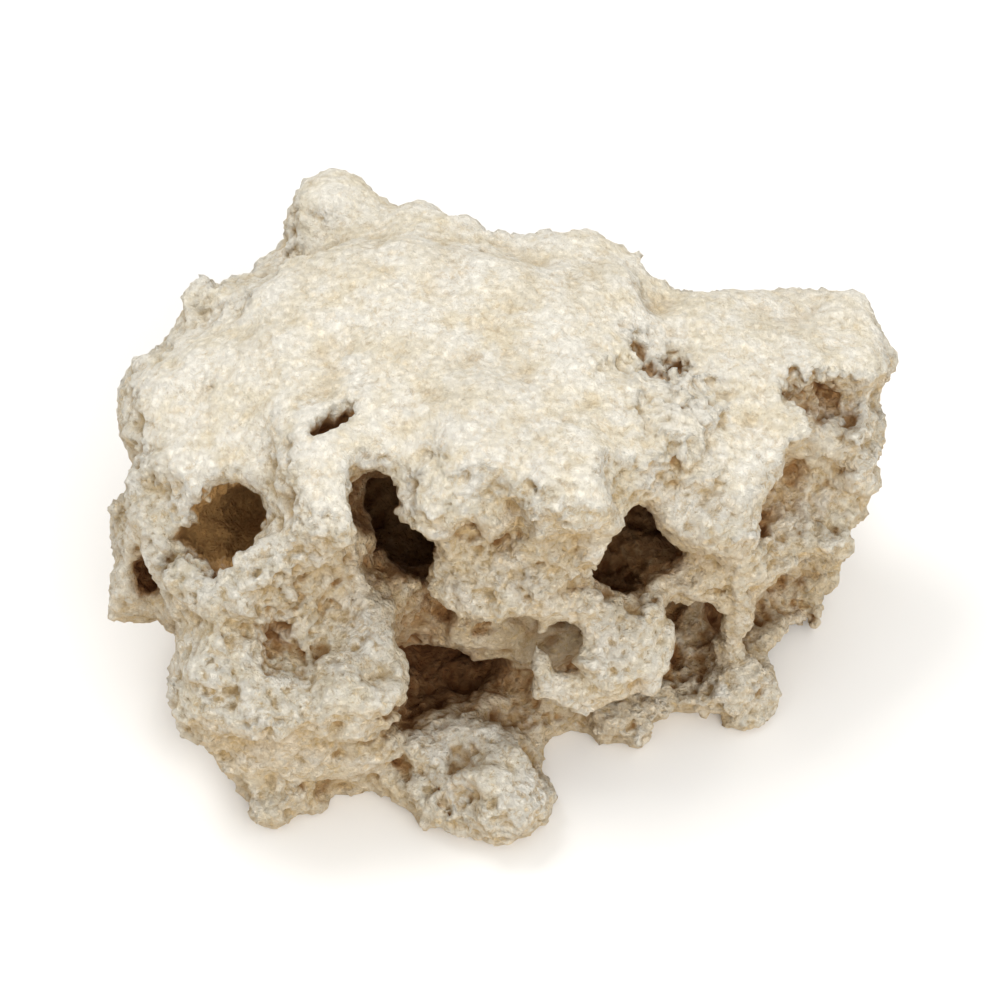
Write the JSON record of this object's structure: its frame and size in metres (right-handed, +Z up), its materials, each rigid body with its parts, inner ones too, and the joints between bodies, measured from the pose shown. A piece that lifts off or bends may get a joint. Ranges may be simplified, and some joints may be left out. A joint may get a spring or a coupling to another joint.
{
  "type": "dry reef rock",
  "caption": "Craggy chunk of porous, cream coloured coral limestone with caves and windows, for building the rock structure of a marine aquarium.",
  "frame": {"origin": "middle of the bounding box, on the level that the rock stands on", "axes": "+X to the right along the face with the windows, +Y to the rock's back, +Z up"},
  "size_m": [0.1622, 0.1278, 0.0818],
  "materials": {
    "dry_limestone": "matt, chalky and porous"
  },
  "bodies": {
    "root": {"reef_rock": "dry_limestone"}
  },
  "joints": []
}
